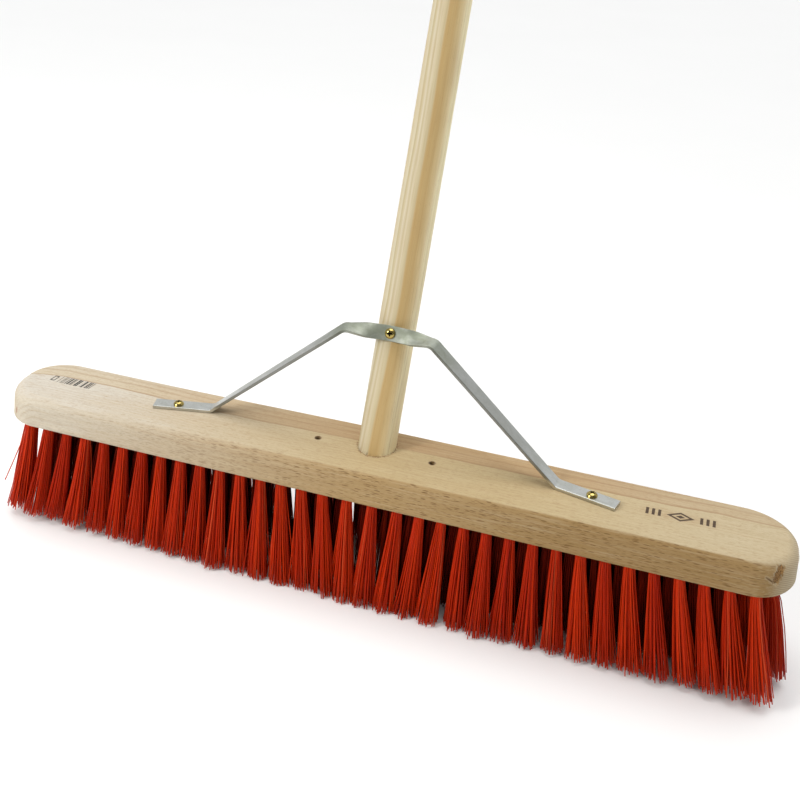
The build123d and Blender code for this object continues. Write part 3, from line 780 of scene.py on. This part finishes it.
def tuft_row(row):
    rnd = random.Random(4100 + row)
    V, F, A = [], [], []
    y = ROWS[row]
    for ti, x in enumerate(row_positions(row)):
        n = PER_TUFT
        size = rnd.uniform(0.94, 1.04)
        if row == 0:
            cx = FRONT_TIPS[ti] + rnd.gauss(0, 0.3)
        else:
            pinch = 3.5 * math.sin(math.pi * min(1.0, max(0.0, (abs(x) - 15) / 70.0)))
            cx = x + end_splay(x) - math.copysign(pinch, x) * (1 if abs(x) < 85 else 0) + rnd.gauss(0, 0.8)
        cy = y + ROW_LEAN[row] + rnd.gauss(0, 0.8)
        spin = rnd.uniform(0, 6.28)
        clumps = [(rnd.uniform(-0.75, 0.75), rnd.uniform(-0.75, 0.75)) for _ in range(4)]
        tuft_tone = rnd.uniform(0.30, 0.72)
        for i in range(n):
            rr = math.sqrt((i + 0.5) / n)
            th = i * 2.39996 + spin
            a, b = rr * math.cos(th), rr * math.sin(th)
            ra, rb = a + rnd.gauss(0, 0.02), b + rnd.gauss(0, 0.02)
            ta, tb = a + rnd.gauss(0, 0.07), b + rnd.gauss(0, 0.07)
            ca, cb = min(clumps, key=lambda c: (c[0] - ta) ** 2 + (c[1] - tb) ** 2)
            g = rnd.uniform(0.0, 0.26)
            ta, tb = ta + (ca - ta) * g, tb + (cb - tb) * g
            if rnd.random() < 0.02:
                ta = ta * rnd.uniform(1.2, 1.5) + rnd.uniform(-0.25, 0.25)
            R = TUFT_R - FIL_R
            p0 = Vector((x + R * ra, y + R * rb, BRISTLE + 6.0))
            p1 = Vector((x + R * ra, y + R * rb, BRISTLE - 0.5))
            tx, ty = cx + (TIP_RX * size - FIL_R) * ta, cy + (TIP_RY * size - FIL_R) * tb
            tz = trim(tx) + rnd.uniform(0.1, 1.6) + (rnd.uniform(0, 2.2) if rnd.random() < 0.10 else 0.0)
            p5 = Vector((tx, ty, tz))
            bow = Vector((rnd.gauss(0, 0.45), rnd.gauss(0, 0.45), 0))
            pts = [p0, p1]
            for f in (0.22, 0.5, 0.77):
                q = p1.lerp(p5, f)
                e = (f ** (1.10 if row == 0 else 0.72) - f)
                q += Vector(((p5.x - p1.x) * e, (p5.y - p1.y) * e, 0)) + bow * (4 * f * (1 - f))
                pts.append(q)
            pts.append(p5)
            own = rnd.random()
            if row in (1, 2) and abs(x) < 262:
                own = -1.0 - own                        # painted shade: the inner rows' filaments are marked for a darker colour, as they sit in the shade between the outer rows
            filament(V, F, A, pts, FIL_R * rnd.uniform(0.94, 1.06), min(1, max(0, tuft_tone + rnd.gauss(0, 0.26))), own)
    if row == 0:
        # a stray filament at the left end; its own value of 0.97 gives it the pale pink painted highlight
        filament(V, F, A, [(-281.8, -28.2, 91), (-281.9, -28.6, 84), (-287, -32.4, 67), (-295, -36.6, 47), (-302.5, -39.5, 29.5)], 0.42, 1.0, 0.97)
    o = mesh_object(f"filaments_row_{row + 1}", V, F, M["bristle"])
    at = o.data.attributes.new("tone", "FLOAT_VECTOR", "POINT")
    at.data.foreach_set("vector", np.array(A, dtype=np.float32).ravel())
    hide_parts(f"tuft_row_{row + 1}")
    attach(o, "root")
    return o


for r in range(len(ROWS)):
    tuft_row(r)

# ------------------------------------------------------------------ floor, light, camera
me = bpy.data.meshes.new("floor")
me.from_pydata([(-30, -30, 0), (30, -30, 0), (30, 30, 0), (-30, 30, 0)], [], [(0, 1, 2, 3)])
me.materials.append(M["floor"])
floor = bpy.data.objects.new("floor", me)
scene.collection.objects.link(floor)

world = bpy.data.worlds.new("studio")
scene.world = world
world.use_nodes = True
wt = world.node_tree
wt.nodes.clear()
wout = wt.nodes.new("ShaderNodeOutputWorld")
bg = wt.nodes.new("ShaderNodeBackground")
tc = wt.nodes.new("ShaderNodeTexCoord")
sp = wt.nodes.new("ShaderNodeSeparateXYZ")
mr = wt.nodes.new("ShaderNodeMapRange")
mr.interpolation_type = "SMOOTHSTEP"
mr.inputs[1].default_value, mr.inputs[2].default_value = -0.5, 0.7
mr.inputs[3].default_value, mr.inputs[4].default_value = WORLD_FRONT, WORLD_BACK
wt.links.new(tc.outputs["Generated"], sp.inputs[0])
wt.links.new(sp.outputs[1], mr.inputs[0])
wt.links.new(mr.outputs[0], bg.inputs[1])
bg.inputs[0].default_value = (0.97, 0.985, 1.0, 1)
wt.links.new(bg.outputs[0], wout.inputs[0])


def lamp(kind, name, loc, aim, energy, colour=(1, 1, 1), size=None, angle=None):
    l = bpy.data.lights.new(name, kind)
    l.energy = energy
    l.color = colour
    if size:
        l.shape = "RECTANGLE"
        l.size, l.size_y = size
    if angle:
        l.angle = math.radians(angle)
    o = bpy.data.objects.new(name, l)
    scene.collection.objects.link(o)
    o.location = loc
    o.rotation_euler = (Vector(aim) - Vector(loc)).to_track_quat("-Z", "Y").to_euler()
    return o


lamp("SUN", "overhead", (0, 0.3, 3), (0, 0, 0), SUN, (1.0, 0.995, 0.98), angle=50)
lamp("AREA", "key", (-1.05, -0.95, 1.0), (-0.05, 0, 0.08), KEY, (1.0, 0.985, 0.955), size=(0.5, 0.5))

cam = bpy.data.cameras.new("camera")
co = bpy.data.objects.new("camera", cam)
scene.collection.objects.link(co)
cam.sensor_fit = "HORIZONTAL"
cam.sensor_width = 36.0
cam.lens = 47.0206
cam.shift_x = 0.0
cam.shift_y = -0.10793
cam.clip_start = 0.02
cam.clip_end = 200
rot = Matrix(((0.950509, -0.176073, 0.255992), (0.305852, 0.385301, -0.870631), (0.054661, 0.905837, 0.420084)))
co.matrix_world = Matrix.Translation((0.199766, -0.633054, 0.529521)) @ rot.to_4x4()
scene.camera = co

scene.view_settings.view_transform = "Standard"
scene.view_settings.look = "None"
scene.view_settings.exposure = 0.0

bpy.context.view_layer.update()
